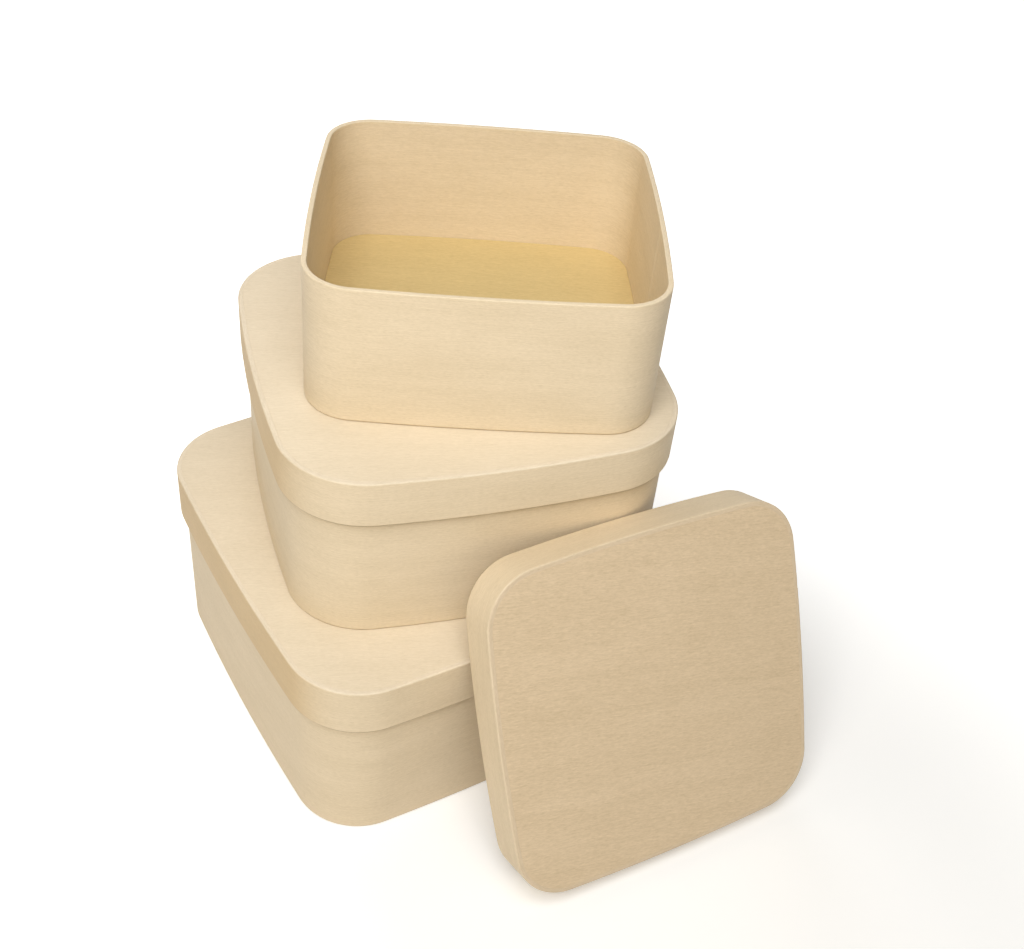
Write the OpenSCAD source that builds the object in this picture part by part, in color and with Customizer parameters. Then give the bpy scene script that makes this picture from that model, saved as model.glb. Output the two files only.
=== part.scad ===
// A stacking set of three square wooden cheese boxes with lift-off lids.
// Each box and each lid is a bent strip of thin wood closed into a rounded square
// with softly bowed sides, and a flat panel that is let in flush inside the strip.
// The large and medium boxes are closed and stacked, the small one stands open on
// top of them, and its lid leans on the medium box at the front.

/* [Strip] */
// Thickness of the bent strips
wall = 1.8; // [1.2:0.1:2.6]
// Room all round between a lid's strip and its box
lid_clearance = 0.4; // [0.2:0.1:1]

/* [Panels] */
// Thickness of a box's bottom panel
bottom_t = 3; // [2:0.5:5]
// Thickness of a lid's top panel
panel_t = 2.5; // [1.5:0.5:4]
// Glue gap between a panel and the strip round it
glue_gap = 0.1; // [0.05:0.05:0.2]

/* [Small box] */
// Outer width across the middle of the sides
small_width = 120; // [100:1:126]
// Height of the open box
small_height = 50.5; // [30:0.5:70]
// Outer radius of the corners
small_corner = 17.5; // [12:1:30]
// How far each side bows out
small_bow = 1.1; // [0.5:0.1:3]
// Depth of the lid, top panel included
small_lid_depth = 17; // [10:0.5:24]

/* [Medium box] */
// Outer width across the middle of the sides
medium_width = 138; // [130:0.5:146]
// Height of the box without its lid
medium_height = 65.5; // [50:0.5:80]
// Outer radius of the corners
medium_corner = 28; // [18:1:40]
// How far each side bows out
medium_bow = 1.7; // [0.5:0.1:3]
// Depth of the lid, top panel included
medium_lid_depth = 18; // [12:0.5:28]

/* [Large box] */
// Outer width across the middle of the sides
large_width = 153; // [148:0.5:170]
// Height of the box without its lid
large_height = 74; // [60:0.5:90]
// Outer radius of the corners
large_corner = 25; // [18:1:40]
// How far each side bows out
large_bow = 1.4; // [0.5:0.1:3]
// Depth of the lid, top panel included
large_lid_depth = 20; // [12:0.5:30]

/* [How the set stands] */
// Turn of the medium box on the large one
medium_turn = -14; // [-20:0.1:-8]
// Place of the medium box along X
medium_x = 11.5; // [6:0.5:16]
// Place of the medium box along Y
medium_y = 4.5; // [0:0.1:8]
// Turn of the small box, from the large one
small_turn = -30; // [-40:0.1:-20]
// Place of the small box along X
small_x = 26; // [20:0.1:30]
// Place of the small box along Y
small_y = 9.5; // [4:0.1:12]
// Lean of the small lid, from upright
lean = 24.5; // [20:0.1:30]
// Turn of the leaning lid, seen from above
lean_turn = -3.5; // [-8:0.1:2]
// Place of the leaning lid along the front
lean_along = 41.5; // [30:0.1:50]
// Room between the leaning lid and the wall that it rests on
lean_gap = 0.3; // [0.2:0.1:1]

// Room left under each piece that rests on another
seat_gap = 0.05; // [0.05:0.05:0.3]

/* [Hidden] */
// Straight stretches that a side's arc and a corner's arc are drawn with
side_steps = 8;
corner_steps = 16;

// A closed lid's top above the rim of its box, and the heights of the stacked boxes
lid_rise = seat_gap + panel_t;
medium_z = large_height + lid_rise + seat_gap;
small_z = medium_z + medium_height + lid_rise + seat_gap;

// A lid's strip stands off its box by the clearance and its own wall
lid_offset = lid_clearance + wall;

// Colours of the pale wood
strip_colour = [0.93, 0.86, 0.73];
panel_colour = [0.95, 0.88, 0.75];

// The rounded square has four side arcs of one large radius and four corner arcs of
// a small one, each pair tangent. Both centres stay when the outline is set in or
// out, so a lid and its box, or a strip and its panel, are everywhere as far apart.

// Radius of a side's arc, from the half width, the corner radius and the bow
function side_radius(half, corner, bow) =
    (pow(half - corner, 2) + bow * bow) / (2 * bow);

// X and Y of a corner arc's centre
function corner_centre(half, corner, bow) =
    let (
        big = side_radius(half, corner, bow),
        b = 2 * (big - half),
        c = pow(big - half, 2) - pow(big - corner, 2)
    )
    (sqrt(b * b - 8 * c) - b) / 4;

// Half the angle that a side's arc spans
function side_angle(half, corner, bow) =
    asin(corner_centre(half, corner, bow) / (side_radius(half, corner, bow) - corner));

// Points of the outline, set in by inset, or out where inset is negative
function outline_points(width, corner, bow, inset) =
    let (
        half = width / 2,
        big = side_radius(half, corner, bow),
        centre = corner_centre(half, corner, bow),
        swing = side_angle(half, corner, bow)
    )
    [for (quarter = [0:90:270]) each concat(
        [for (i = [0:side_steps - 1])
            let (t = swing * (2 * i / side_steps - 1))
            turned([half - big + (big - inset) * cos(t), (big - inset) * sin(t)], quarter)],
        [for (i = [0:corner_steps - 1])
            let (t = swing + (90 - 2 * swing) * i / corner_steps)
            turned([centre + (corner - inset) * cos(t), centre + (corner - inset) * sin(t)],
                quarter)]
    )];

// A point turned about the centre
function turned(p, angle) =
    [p[0] * cos(angle) - p[1] * sin(angle), p[0] * sin(angle) + p[1] * cos(angle)];

module outline(width, corner, bow, inset) {
    polygon(outline_points(width, corner, bow, inset));
}

// A bent strip closed into the rounded square, with its outer face set out by offset
module strip(width, corner, bow, offset, height) {
    color(strip_colour) linear_extrude(height) difference() {
        outline(width, corner, bow, -offset);
        outline(width, corner, bow, wall - offset);
    }
}

// A panel that fills a strip, all but the glue gap
module panel(width, corner, bow, offset, thickness) {
    color(panel_colour) linear_extrude(thickness)
        outline(width, corner, bow, wall + glue_gap - offset);
}

// Bottom panel of a box, flush with the foot of the strip at z = 0
module box_panel(width, corner, bow) {
    panel(width, corner, bow, 0, bottom_t);
}

// A lid has its free rim at z = 0, and its panel is flush with the strip's top edge
module lid_panel(width, corner, bow, depth) {
    translate([0, 0, depth - panel_t]) panel(width, corner, bow, lid_offset, panel_t);
}

// Place of a closed lid, with its panel resting on the rim of its box
module on_rim(height, depth) {
    translate([0, 0, height + lid_rise - depth]) children();
}

// Places of the medium and small boxes in the stack
module medium_place() {
    translate([medium_x, medium_y, medium_z]) rotate(medium_turn) children();
}
module small_place() {
    translate([small_x, small_y, small_z]) rotate(small_turn) children();
}

// The small lid stands on the lower edge of its strip and leans back until the upper
// edge meets the corner of the medium box's wall.
lid_half = small_width / 2 + lid_offset;
medium_centre = corner_centre(medium_width / 2, medium_corner, medium_bow);
// Centre of that corner's arc, turned as the box is
medium_corner_x = medium_x + medium_centre * (cos(medium_turn) + sin(medium_turn));
medium_corner_y = medium_y + medium_centre * (sin(medium_turn) - cos(medium_turn));
// How far the wall reaches towards the lid, square to the lid's turned front
wall_reach = medium_corner_x * sin(lean_turn) - medium_corner_y * cos(lean_turn)
    + medium_corner;
lean_z = lid_half * cos(lean);
lean_out = wall_reach + lean_gap + lid_half * sin(lean);
module leaning_place() {
    rotate(lean_turn) translate([lean_along, -lean_out, lean_z])
        rotate([90 - lean, 0, 0]) children();
}

module large_box_band() {
    strip(large_width, large_corner, large_bow, 0, large_height);
}
module large_box_bottom() {
    box_panel(large_width, large_corner, large_bow);
}
module large_lid_band() {
    on_rim(large_height, large_lid_depth)
        strip(large_width, large_corner, large_bow, lid_offset, large_lid_depth);
}
module large_lid_panel() {
    on_rim(large_height, large_lid_depth)
        lid_panel(large_width, large_corner, large_bow, large_lid_depth);
}
module medium_box_band() {
    medium_place() strip(medium_width, medium_corner, medium_bow, 0, medium_height);
}
module medium_box_bottom() {
    medium_place() box_panel(medium_width, medium_corner, medium_bow);
}
module medium_lid_band() {
    medium_place() on_rim(medium_height, medium_lid_depth)
        strip(medium_width, medium_corner, medium_bow, lid_offset, medium_lid_depth);
}
module medium_lid_panel() {
    medium_place() on_rim(medium_height, medium_lid_depth)
        lid_panel(medium_width, medium_corner, medium_bow, medium_lid_depth);
}
module small_box_band() {
    small_place() strip(small_width, small_corner, small_bow, 0, small_height);
}
module small_box_bottom() {
    small_place() box_panel(small_width, small_corner, small_bow);
}
module small_lid_band() {
    leaning_place() strip(small_width, small_corner, small_bow, lid_offset, small_lid_depth);
}
module small_lid_panel() {
    leaning_place() lid_panel(small_width, small_corner, small_bow, small_lid_depth);
}

large_box_band();
large_box_bottom();
large_lid_band();
large_lid_panel();
medium_box_band();
medium_box_bottom();
medium_lid_band();
medium_lid_panel();
small_box_band();
small_box_bottom();
small_lid_band();
small_lid_panel();
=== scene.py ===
"""A set of three square boxes of thin pale wood. Two are closed and stacked, the smallest stands
open on top, and its lid leans in front."""
import bisect
import math
import bpy
from mathutils import Matrix, Vector


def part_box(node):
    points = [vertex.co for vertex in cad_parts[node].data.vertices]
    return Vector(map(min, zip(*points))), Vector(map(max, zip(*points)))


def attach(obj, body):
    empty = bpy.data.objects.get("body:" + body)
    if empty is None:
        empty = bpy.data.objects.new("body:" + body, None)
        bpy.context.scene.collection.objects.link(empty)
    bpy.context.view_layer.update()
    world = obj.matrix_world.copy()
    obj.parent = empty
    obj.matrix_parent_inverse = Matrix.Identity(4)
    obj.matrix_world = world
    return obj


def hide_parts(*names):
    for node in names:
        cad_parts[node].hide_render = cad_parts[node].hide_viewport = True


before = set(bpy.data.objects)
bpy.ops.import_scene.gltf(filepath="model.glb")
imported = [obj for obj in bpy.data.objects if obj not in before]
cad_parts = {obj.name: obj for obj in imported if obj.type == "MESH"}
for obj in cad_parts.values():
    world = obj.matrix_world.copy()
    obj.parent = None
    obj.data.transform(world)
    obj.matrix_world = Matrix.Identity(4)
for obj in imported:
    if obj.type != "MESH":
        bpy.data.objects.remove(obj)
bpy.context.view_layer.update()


# Large box
# The wall is one strip of thin pale wood, steamed and bent into a rounded square with bowed
# sides. Its two ends are planed thin and glued over each other at the back. The bottom board
# is let in flush inside the strip and glued.

strip_thickness = 0.0018
glue_gap = 0.0001
bottom_thickness = 0.003
large_height = 0.074
rim_round = 0.0004
foot_round = 0.0007
seam_round = 0.00006
lap_length = 0.032
lap_edge = 0.00012
inner_lap_edge = 0.00002
lap_fade = 0.008
lap_fade_shares = (0.12, 0.3, 0.6, 1)
hair = 0.00001
arc_steps = 5
hold_share = 0.4
closest_station = 0.0012
side_shade_power = 8
strip_grain_step = Vector((0.91, 0.37, 0.13))
board_grain_step = Vector((0.53, 0.29, 0))
board_square_share = 0.8
board_ring_shares = (0.33, 0.66)
board_under_round = 0.0003


class Outline:
    """A rounded square with bowed sides: four long side arcs and four short corner arcs. An
    offset changes the arcs' radii and keeps their centres, so a strip is as thick all round."""

    def __init__(self, width, corner, bow):
        half = width / 2
        reach = half - corner
        self.corner = corner
        self.side = (reach**2 + bow**2) / (2 * bow)
        gap = self.side - half
        spare = gap**2 - (self.side - corner) ** 2
        self.centre = (math.sqrt(4 * gap**2 - 8 * spare) - 2 * gap) / 4
        self.side_centre = -gap
        self.swing = math.asin(self.centre / (self.side - corner))
        self.turn = math.pi / 2 - 2 * self.swing
        self.side_length = 2 * self.swing * self.side
        self.quarter = self.side_length + self.turn * corner
        self.length = 4 * self.quarter

    def spot(self, along, offset):
        """X and Y at a distance along the outline, counted from the start of the +X side."""
        quarter, rest = divmod(along % self.length, self.quarter)
        if rest < self.side_length:
            angle = rest / self.side - self.swing
            x = self.side_centre + (self.side + offset) * math.cos(angle)
            y = (self.side + offset) * math.sin(angle)
        else:
            angle = self.swing + (rest - self.side_length) / self.corner
            x = self.centre + (self.corner + offset) * math.cos(angle)
            y = self.centre + (self.corner + offset) * math.sin(angle)
        turned = Vector((x, y))
        turned.rotate(Matrix.Rotation(quarter * math.pi / 2, 2))
        return turned

    def stations(self, side_steps=16, corner_steps=20):
        """Distances along the outline, closer together where the strip bends."""
        found = []
        for quarter in range(4):
            start = quarter * self.quarter
            for step in range(side_steps):
                found.append(start + self.side_length * step / side_steps)
            for step in range(corner_steps):
                bend = (self.quarter - self.side_length) * step / corner_steps
                found.append(start + self.side_length + bend)
        return found


def rounded(inset, height, inward, upward, radius, start):
    """Section points of one rounded edge, each (inset, height, how near the edge's middle), with
    a point beyond each end of the arc that keeps the flat faces flat."""
    points = []
    centre_inset = inset + inward * radius
    centre_height = height + upward * radius
    hold = radius * hold_share
    for step in range(arc_steps + 1):
        angle = start - math.pi / 2 * step / arc_steps
        across = centre_inset + radius * math.cos(angle)
        up = centre_height + radius * math.sin(angle)
        points.append((across, up, math.sin(math.pi * step / arc_steps)))
    end = start - math.pi / 2
    first = (points[0][0] - hold * math.sin(start), points[0][1] + hold * math.cos(start), 0)
    last = (points[-1][0] + hold * math.sin(end), points[-1][1] - hold * math.cos(end), 0)
    return [first, *points, last]


def give_attribute(mesh, name, kind, domain, values):
    made = mesh.attributes.new(name, kind, domain)
    field = "vector" if kind == "FLOAT_VECTOR" else "value"
    made.data.foreach_set(field, values)


def finish_mesh(name, vertices, faces, place, material):
    mesh = bpy.data.meshes.new(name)
    mesh.from_pydata(vertices, [], faces)
    mesh.transform(place)
    mesh.shade_smooth()
    mesh.materials.append(material)
    made = bpy.data.objects.new(name, mesh)
    bpy.context.collection.objects.link(made)
    return made


def bent_strip(
    name, outline, outer, height, rounds, shades, lap_start, place, material, piece
):
    """The wall of a box or lid. outer is how far its outer face stands off the outline, rounds
    are the roundings of the outer foot, outer top, inner top and inner foot. shades are the
    colours of the sanded rim, the outer foot and the -X side against the rest; the outer foot's
    colour is a painted shadow line, and on the leaning lid the rim's is painted shade. The inner
    end of the lap is sanded nearly flush."""
    half = height / 2
    section = rounded(0, -half, 1, 1, rounds[0], -math.pi / 2)
    section += rounded(0, half, 1, -1, rounds[1], math.pi)
    section += rounded(strip_thickness, half, -1, -1, rounds[2], math.pi / 2)
    section += rounded(strip_thickness, -half, -1, 1, rounds[3], 0)
    length = outline.length
    special = [0, lap_length - hair, lap_length + hair, length - 2 * hair]
    for share in lap_fade_shares:
        special.append(lap_length + lap_fade * share)
        special.append(length - lap_fade * share)
    special.sort()
    stations = list(special)
    for along in outline.stations():
        from_lap = (along - lap_start) % length
        nearest = min(abs(from_lap - other) for other in special)
        if nearest > closest_station:
            bisect.insort(stations, from_lap)
    rim_tone_and_painted_shade, painted_foot_shadow, side_shade = [Vector(each) for each in shades]
    vertices, edge, scarf, shade = [], [], [], []
    for along in stations:
        over = (along - lap_length) / lap_fade
        under = (length - along) / lap_fade
        outer_step = lap_edge * (1 - over) ** 2 if 0 < over < 1 else 0
        inner_step = inner_lap_edge * (1 - under) ** 2 if under < 1 else 0
        in_lap = along < lap_length
        outward = outline.spot(lap_start + along, 1) - outline.spot(lap_start + along, 0)
        side = Vector((1, 1, 1)).lerp(side_shade, max(0, -outward.x) ** side_shade_power)
        for inset, up, near in section:
            share = inset / strip_thickness
            inward = inset + outer_step * (1 - share) - inner_step * share
            x, y = outline.spot(lap_start + along, outer - inward)
            vertices.append((x, y, up))
            edge.append(near)
            glue_line = strip_thickness * (1 - along / lap_length)
            scarf.append(inset - glue_line if in_lap else 1)
            # At the outer foot the colour goes to a painted shadow line; at the rim to the rim's
            # tone, which on the leaning lid is painted shade.
            foot_shadow_share = near if up < 0 and inset < rounds[0] + hair else 0
            at_rim = max(0, 1 - (half - up) / rounds[1 if inset <= rounds[1] else 2])
            shade.extend(side.lerp(painted_foot_shadow, foot_shadow_share).lerp(rim_tone_and_painted_shade, at_rim))
    faces, grain = [], []
    count = len(section)
    for index, along in enumerate(stations):
        following = (index + 1) % len(stations)
        end = stations[following] if following else length
        middle = (along + end) / 2
        for point in range(count):
            beside = (point + 1) % count
            faces.append((
                index * count + point,
                following * count + point,
                following * count + beside,
                index * count + beside,
            ))
            inset = (section[point][0] + section[beside][0]) / 2
            upper_end = middle < lap_length and inset < strip_thickness * (1 - middle / lap_length)
            shift = length if upper_end else 0
            for distance, corner in ((along, point), (end, point), (end, beside), (along, beside)):
                inset, up, _ = section[corner]
                grain.extend(Vector((distance + shift, up, inset)) + piece * strip_grain_step)
    made = finish_mesh(name, vertices, faces, place, material)
    give_attribute(made.data, "grain", "FLOAT_VECTOR", "CORNER", grain)
    give_attribute(made.data, "edge", "FLOAT", "POINT", edge)
    give_attribute(made.data, "scarf", "FLOAT", "POINT", scarf)
    give_attribute(made.data, "shade", "FLOAT_VECTOR", "POINT", shade)
    return made


def let_in_board(name, outline, outer, thickness, rounds, place, material, piece, cut_angle):
    """A flat board cut to the inside of its strip, with its grain at cut_angle to its sides. Both
    faces are a square net of quads that spreads out to the rounded edge."""
    side_steps, corner_steps = 16, 20
    per_side = side_steps + corner_steps
    around = outline.stations(side_steps, corner_steps)
    start = side_steps + corner_steps // 2
    around = around[start:] + [along + outline.length for along in around[:start]]
    half = thickness / 2
    section = rounded(0, half, 1, -1, rounds[0], math.pi)[::-1]
    section += rounded(0, -half, 1, 1, rounds[1], -math.pi / 2)[::-1]
    inner = outline.centre * board_square_share
    square = []
    for side in range(4):
        for step in range(per_side):
            walk = inner - 2 * inner * step / per_side
            turned = Vector((walk, inner))
            turned.rotate(Matrix.Rotation(side * math.pi / 2, 2))
            square.append(turned)
    near_share, far_share = board_ring_shares
    rings = [(share, section[0], 0) for share in (1, far_share, near_share)]
    rings += [(0, point, point[2]) for point in section]
    rings += [(share, section[-1], 0) for share in (near_share, far_share, 1)]
    vertices, edge = [], []
    total = len(around)
    for share, (inset, up, _), near in rings:
        for along, corner in zip(around, square):
            x, y = outline.spot(along, outer - inset).lerp(corner, share)
            vertices.append((x, y, up))
            edge.append(near)
    faces = []
    for ring in range(len(rings) - 1):
        for index in range(total):
            beside = (index + 1) % total
            above = ring * total
            below = above + total
            faces.append((below + index, below + beside, above + beside, above + index))
    for first, up, flip in ((0, half, False), ((len(rings) - 1) * total, -half, True)):
        net = {}
        for step in range(per_side):
            net[per_side - step, per_side] = first + step
            net[0, per_side - step] = first + per_side + step
            net[step, 0] = first + 2 * per_side + step
            net[per_side, step] = first + 3 * per_side + step
        for row in range(1, per_side):
            for column in range(1, per_side):
                net[column, row] = len(vertices)
                x = inner * (2 * column / per_side - 1)
                y = inner * (2 * row / per_side - 1)
                vertices.append((x, y, up))
                edge.append(0)
        for row in range(per_side):
            for column in range(per_side):
                face = (
                    net[column, row],
                    net[column + 1, row],
                    net[column + 1, row + 1],
                    net[column, row + 1],
                )
                faces.append(face[::-1] if flip else face)
    made = finish_mesh(name, vertices, faces, place, material)
    grain = []
    cosine = math.cos(math.radians(cut_angle))
    sine = math.sin(math.radians(cut_angle))
    for x, y, z in vertices:
        turned = Vector((x * cosine + y * sine, y * cosine - x * sine, z))
        grain.extend(turned + piece * board_grain_step)
    give_attribute(made.data, "grain", "FLOAT_VECTOR", "POINT", grain)
    give_attribute(made.data, "edge", "FLOAT", "POINT", edge)
    return made


class Shade:
    """A socket of the wood's node tree, so that shader sums read as sums."""

    def __init__(self, tree, socket=None):
        self.tree = tree
        self.socket = socket

    def node(self, kind, settings=None, sockets=None, out=0):
        made = self.tree.nodes.new("ShaderNode" + kind)
        for name, value in (settings or {}).items():
            setattr(made, name, value)
        for name, value in (sockets or {}).items():
            if isinstance(value, Shade):
                self.tree.links.new(value.socket, made.inputs[name])
            else:
                made.inputs[name].default_value = value
        return Shade(self.tree, made.outputs[out] if made.outputs else None)

    def math(self, operation, *values):
        return self.node("Math", {"operation": operation}, dict(enumerate(values)))

    def __add__(self, other):
        return self.math("ADD", self, other)

    def __radd__(self, other):
        return self.math("ADD", other, self)

    def __sub__(self, other):
        return self.math("SUBTRACT", self, other)

    def __rsub__(self, other):
        return self.math("SUBTRACT", other, self)

    def __mul__(self, other):
        return self.math("MULTIPLY", self, other)

    def __rmul__(self, other):
        return self.math("MULTIPLY", other, self)

    def smooth(self, low, high):
        """0 below low and 1 above high, with a soft step between."""
        sockets = {"Value": self, "From Min": low, "From Max": high}
        return self.node("MapRange", {"interpolation_type": "SMOOTHSTEP"}, sockets)

    def noise(self, stretch, detail=2.0, roughness=0.5):
        """Noise whose patches are 1 / stretch metres long in each direction."""
        scaled = self.node("VectorMath", {"operation": "MULTIPLY"}, {0: self, 1: stretch})
        sockets = {"Vector": scaled, "Scale": 1.0, "Detail": detail, "Roughness": roughness}
        return self.node("TexNoise", None, sockets, "Fac")


def pale_wood(name, tint, strength, figured=False, lapped=False):
    """Thin pale wood, planed and sanded and left bare: fine streaks along the grain, short dark
    flecks, slow bands of tone, and on a flat board a faint wavy figure. strength says how clearly
    they show."""
    light = [part * 1.09 for part in tint]
    dark = [tint[0] * 0.89, tint[1] * 0.87, tint[2] * 0.81]
    material = bpy.data.materials.new(name)
    material.use_nodes = True
    tree = material.node_tree
    tree.nodes.clear()
    start = Shade(tree)
    grain = start.node("Attribute", {"attribute_name": "grain"}, None, "Vector")
    edge = start.node("Attribute", {"attribute_name": "edge"}, None, "Fac")
    streaks = grain.noise((130, 1700, 1700), 2.0, 0.6)
    fibres = grain.noise((620, 2500, 2500), 2.0, 0.6)
    flecks = grain.noise((480, 3300, 3300), 1.0).smooth(0.6, 0.78)
    bands = grain.noise((10, 330, 330), 2.0)
    clouds = grain.noise((30, 75, 75), 2.0)
    tone = (streaks - 0.5) * 0.75 + (fibres - 0.5) * 1.2
    tone = tone + (bands - 0.5) * 0.4 + (clouds - 0.5) * 0.5
    if figured:
        wander = grain.noise((260, 420, 420), 1.0) * 0.0011
        bent = start.node("VectorMath", None, {0: grain, 1: wander})
        ripples = bent.noise((330, 1500, 1500), 2.0, 0.6)
        tone = tone + (ripples - 0.5) * 1.1
        drift = grain.noise((9, 26, 26), 2.0)
        across = start.node("SeparateXYZ", None, {"Vector": grain}, "Y")
        waves = (across * 1500 + drift * 34).math("SINE")
        tone = tone + waves * 0.06
    tone = 0.5 + (tone - flecks * 0.4) * strength + edge * 0.07
    if lapped:
        scarf = start.node("Attribute", {"attribute_name": "scarf"}, None, "Fac")
        glue = 1 - scarf.math("ABSOLUTE").smooth(0.00004, 0.0002)
        tone = tone - glue * 0.5
    colour = start.node(
        "Mix",
        {"data_type": "RGBA", "clamp_factor": True},
        {0: tone, 6: (*dark, 1), 7: (*light, 1)},
        2,
    )
    # On a strip the shade attribute multiplies the colour: the rim's tone, which is painted shade
    # on the leaning lid, a painted shadow line at the outer foot, and a browner -X side.
    if lapped:
        shade = start.node("Attribute", {"attribute_name": "shade"}, None, "Vector")
        colour = start.node("VectorMath", {"operation": "MULTIPLY"}, {0: colour, 1: shade})
    height = streaks * 0.5 + fibres * 0.7 - flecks * 0.6
    bump = start.node("Bump", None, {"Strength": 0.4, "Distance": 0.00003, "Height": height})
    roughness = 0.57 + (fibres - 0.5) * 0.14 + flecks * 0.1 - edge * 0.05
    surface = start.node(
        "BsdfPrincipled",
        None,
        {
            "Base Color": colour,
            "Roughness": roughness,
            "Normal": bump,
            "Specular IOR Level": 0.25,
        },
    )
    start.node("OutputMaterial", None, {"Surface": surface})
    return material


strip_wood = pale_wood("strip_wood", (0.785, 0.668, 0.498), 1.0, lapped=True)
bottom_wood = pale_wood("bottom_wood", (0.715, 0.565, 0.285), 0.8, figured=True)


def middle(node, turn=0.0):
    """Where a piece stands: the middle of its node, turned about the vertical."""
    low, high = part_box(node)
    return Matrix.Translation((low + high) / 2) @ Matrix.Rotation(math.radians(turn), 4, "Z")


# The boxes' strips are darker at the outer foot: a painted shadow line where each box stands.
box_painted_shades = ((1, 1, 1), (0.8, 0.76, 0.68), (1, 1, 1))


def add_box(size, outline, height, turn, lap_start, piece, cut_angle=0):
    """The strip and the bottom board of one box, each in place of its node."""
    box_rounds = (foot_round, rim_round, rim_round, seam_round)
    board_rounds = (board_under_round, seam_round)
    place = middle(size + "_box_band", turn)
    strip = bent_strip(
        size + "_box_strip", outline, 0, height, box_rounds, box_painted_shades, lap_start, place,
        strip_wood, piece,
    )
    inside = glue_gap * 0.1 - strip_thickness
    place = middle(size + "_box_bottom", turn)
    board = let_in_board(
        size + "_box_board", outline, inside, bottom_thickness, board_rounds, place, bottom_wood,
        piece + 1, cut_angle,
    )
    for made, node, slot in ((strip, "band", "strip_wood"), (board, "bottom", "panel_wood")):
        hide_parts(size + "_box_" + node)
        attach(made, size + "_box")


large_outline = Outline(0.153, 0.025, 0.0014)
add_box("large", large_outline, large_height, 0, large_outline.quarter * 1.35, 1)


# Large lid
# A shallower strip of the same wood, bent a little wider so that it slips over the box, with a
# thin board let in flush at the top. The glued seam shows as a hairline round the board.

large_lid_depth = 0.020
lid_clearance = 0.0004
lid_board_thickness = 0.0025
lid_edge_round = 0.0006
lid_rim_round = 0.0008
lid_inner_rim_round = 0.0003
# The lids' outer foot is dark brown: a painted shadow line, such as falls under a lid's lip. Their
# rim takes the board's tone, and their -X side a browner tone.
lid_painted_lip_shadow = (0.40, 0.32, 0.20)
lid_tones_and_painted_shades = ((0.985, 1.02, 1.11), lid_painted_lip_shadow, (0.88, 0.79, 0.63))


def add_lid(
    size, outline, depth, strip_place, board_place, lap_start, piece, shades, board_wood,
    cut_angle,
):
    """The strip and the top board of one lid, each in place of its node."""
    rounds = (lid_rim_round, lid_edge_round, seam_round, lid_inner_rim_round)
    outer = lid_clearance + strip_thickness
    strip = bent_strip(
        size + "_lid_strip", outline, outer, depth, rounds, shades, lap_start, strip_place,
        strip_wood, piece,
    )
    inside = lid_clearance - glue_gap * 0.1
    board = let_in_board(
        size + "_lid_board", outline, inside, lid_board_thickness, (seam_round, board_under_round),
        board_place, board_wood, piece + 1, cut_angle,
    )
    for made, node, slot in ((strip, "band", "strip_wood"), (board, "panel", "panel_wood")):
        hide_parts(size + "_lid_" + node)
        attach(made, size + "_lid")


lid_wood = pale_wood("lid_wood", (0.765, 0.67, 0.53), 0.6, figured=True)
add_lid(
    "large", large_outline, large_lid_depth, middle("large_lid_band"), middle("large_lid_panel"),
    large_outline.quarter * 0.3, 3, lid_tones_and_painted_shades, lid_wood, -25,
)


# Medium box and lid
# The same make, one size down, with its corners bent to a wider round. It stands on the large
# lid, turned a little.

medium_turn = -14
medium_height = 0.0655
medium_lid_depth = 0.018
medium_outline = Outline(0.138, 0.028, 0.0017)
add_box("medium", medium_outline, medium_height, medium_turn, medium_outline.quarter * 1.3, 5)
add_lid(
    "medium", medium_outline, medium_lid_depth, middle("medium_lid_band", medium_turn),
    middle("medium_lid_panel", medium_turn), medium_outline.quarter * 0.25, 7, lid_tones_and_painted_shades,
    lid_wood, -11,
)


# Small box
# The smallest box, which stands open on the medium lid, so the inside of its strip and its
# bottom board show. Its corners are bent tightest.

small_turn = -30
small_height = 0.0505
small_outline = Outline(0.120, 0.0175, 0.0011)
add_box("small", small_outline, small_height, small_turn, small_outline.quarter * 0.3, 9)


# Small lid
# The lid of the open box. It stands on its edge on the floor and leans back on the medium box,
# with its top board facing out.

small_lid_depth = 0.017
lean = 24.5
lean_turn = -3.5


def leaning(node):
    """Where a piece of the leaning lid stands."""
    tipped = Matrix.Rotation(math.radians(lean_turn), 4, "Z")
    tipped = tipped @ Matrix.Rotation(math.radians(90 - lean), 4, "X")
    return middle(node) @ tipped


# The leaning lid's board is the lid boards' wood made darker and browner as painted shade, with
# its figure shown more clearly. Its rim is darkened to match as painted shade, and its outer foot
# carries the painted shadow line.
leaning_lid_painted_shades = ((0.87, 0.84, 0.83), lid_painted_lip_shadow, (1, 1, 1))
lid_wood_painted_shade = pale_wood("lid_wood_painted_shade", (0.685, 0.55, 0.385), 1.1, figured=True)
add_lid(
    "small", small_outline, small_lid_depth, leaning("small_lid_band"),
    leaning("small_lid_panel"), small_outline.quarter * 0.3, 11, leaning_lid_painted_shades,
    lid_wood_painted_shade, -12,
)


# Floor
# A plain pale floor. The camera sees it almost white where it is lit, with the set's soft
# shadow, and wholly white farther off.

floor_half = 3.0
floor_mesh = bpy.data.meshes.new("floor")
floor_corners = [
    (-floor_half, -floor_half, -0.0001),
    (floor_half, -floor_half, -0.0001),
    (floor_half, floor_half, -0.0001),
    (-floor_half, floor_half, -0.0001),
]
floor_mesh.from_pydata(floor_corners, [], [(0, 1, 2, 3)])
floor = bpy.data.objects.new("floor", floor_mesh)
bpy.context.collection.objects.link(floor)

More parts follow.
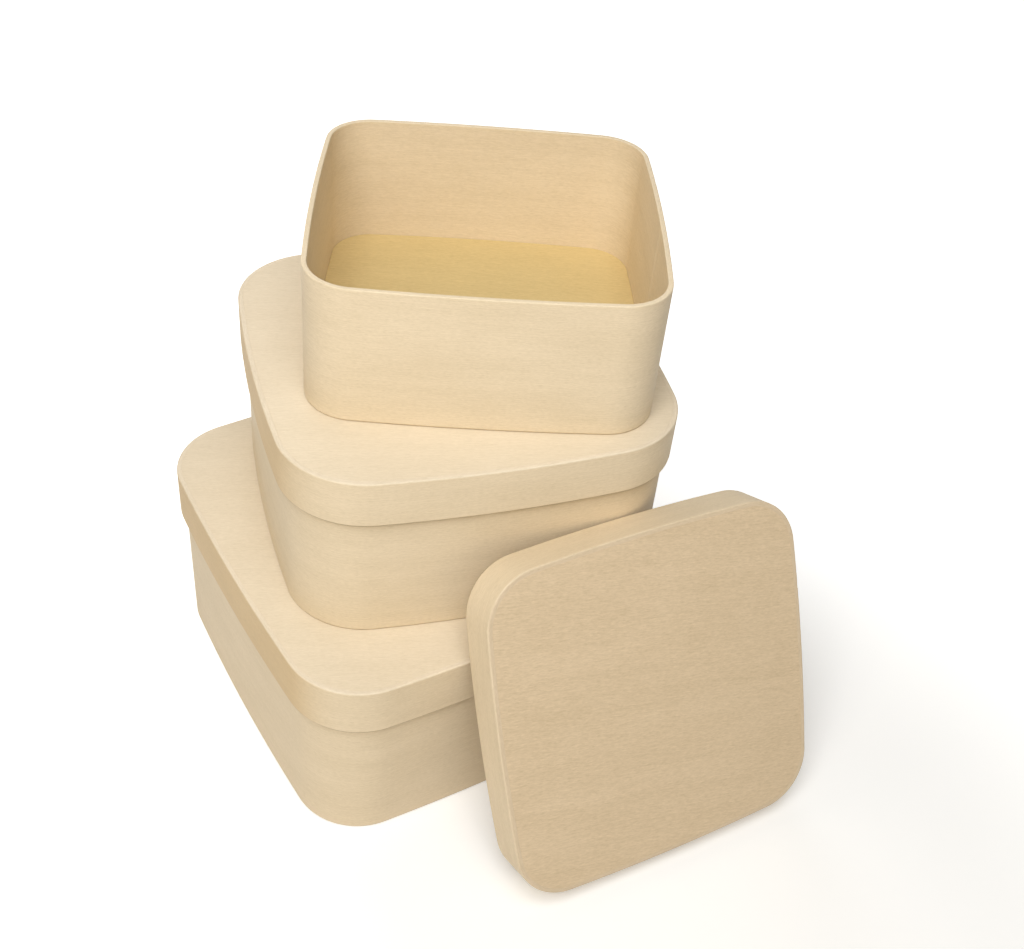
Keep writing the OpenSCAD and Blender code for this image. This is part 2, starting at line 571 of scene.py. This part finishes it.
floor_paint = bpy.data.materials.new("floor_paint")
floor_paint.use_nodes = True
floor_paint.node_tree.nodes.clear()
floor_start = Shade(floor_paint.node_tree)
seen = floor_start.node("LightPath", None, None, "Is Camera Ray")
for kind in ("Glossy", "Transmission"):
    seen = seen.math("MAXIMUM", seen, floor_start.node("LightPath", None, None, f"Is {kind} Ray"))
spot = floor_start.node("TexCoord", None, None, "Object")
foreground = (0.03, -0.16, 0)
away = floor_start.node("VectorMath", {"operation": "DISTANCE"}, {0: spot, 1: foreground}, "Value")
glow_strength = 0.12 + away.smooth(0.1, 0.32) * 0.6 + away.smooth(0.4, 1.6) * 0.35
matt = floor_start.node("BsdfDiffuse", None, {"Color": (0.80, 0.785, 0.77, 1)})
bright = floor_start.node("BsdfDiffuse", None, {"Color": (0.96, 0.975, 1.0, 1)})
glow = floor_start.node("Emission", None, {"Color": (1, 1, 1, 1), "Strength": glow_strength})
lit = floor_start.node("AddShader", None, {0: bright, 1: glow})
shown = floor_start.node("MixShader", None, {0: seen, 1: matt, 2: lit})
floor_start.node("OutputMaterial", None, {"Surface": shown})
floor_mesh.materials.append(floor_paint)


# Studio light
# A broad soft light above the camera, a warmer one from the left, one from behind that lights
# the backs, and a pale warm room.

world = bpy.data.worlds.new("room")
world.use_nodes = True
world.node_tree.nodes.clear()
bpy.context.scene.world = world
sky = Shade(world.node_tree)
open_view = sky.node("LightPath", None, None, "Is Camera Ray")
for kind in ("Glossy", "Transmission"):
    ray = sky.node("LightPath", None, None, f"Is {kind} Ray")
    open_view = open_view.math("MAXIMUM", open_view, ray)
room = sky.node("Background", None, {"Color": (1, 0.93, 0.78, 1), "Strength": 0.23})
white = sky.node("Background", None, {"Color": (1, 1, 1, 1), "Strength": 1.0})
mixed_view = sky.node("MixShader", None, {0: open_view, 1: room, 2: white})
sky.node("OutputWorld", None, {"Surface": mixed_view})


light_aim = Vector((0, 0, 0.1))


def soft_light(name, place, size, watts, colour):
    lamp = bpy.data.lights.new(name, "AREA")
    lamp.shape = "SQUARE"
    lamp.size = size
    lamp.energy = watts
    lamp.color = colour
    made = bpy.data.objects.new(name, lamp)
    made.location = place
    made.rotation_euler = (light_aim - Vector(place)).to_track_quat("-Z", "Y").to_euler()
    bpy.context.collection.objects.link(made)


neutral = (1, 1, 1)
warm = (1, 0.93, 0.81)
soft_light("above", (-0.229, -0.328, 0.793), 0.5, 3.9, neutral)
soft_light("left", (-0.487, -0.438, 0.559), 0.5, 2.15, warm)
soft_light("behind", (0.15, 1.0, 0.7), 0.8, 3.0, neutral)


# Camera
# At the photograph's place, looking down on the set from its front left corner.

camera_place = Vector((-0.1871133, -0.3290669, 0.4128703))
camera_turn = -0.6053256
camera_down = 0.6986954
camera_roll = 0.1053514
ahead = Vector((
    -math.sin(camera_turn) * math.cos(camera_down),
    math.cos(camera_turn) * math.cos(camera_down),
    -math.sin(camera_down),
))
level = Vector((math.cos(camera_turn), math.sin(camera_turn), 0))
upright = level.cross(ahead)
right = math.cos(camera_roll) * level + math.sin(camera_roll) * upright
upward = right.cross(ahead)
lens = bpy.data.cameras.new("camera")
lens.sensor_width = 36
lens.lens = 46.22
camera = bpy.data.objects.new("camera", lens)
bpy.context.collection.objects.link(camera)
camera.matrix_world = Matrix((
    (right.x, upward.x, -ahead.x, camera_place.x),
    (right.y, upward.y, -ahead.y, camera_place.y),
    (right.z, upward.z, -ahead.z, camera_place.z),
    (0, 0, 0, 1),
))
bpy.context.scene.camera = camera
bpy.context.scene.view_settings.view_transform = "Standard"
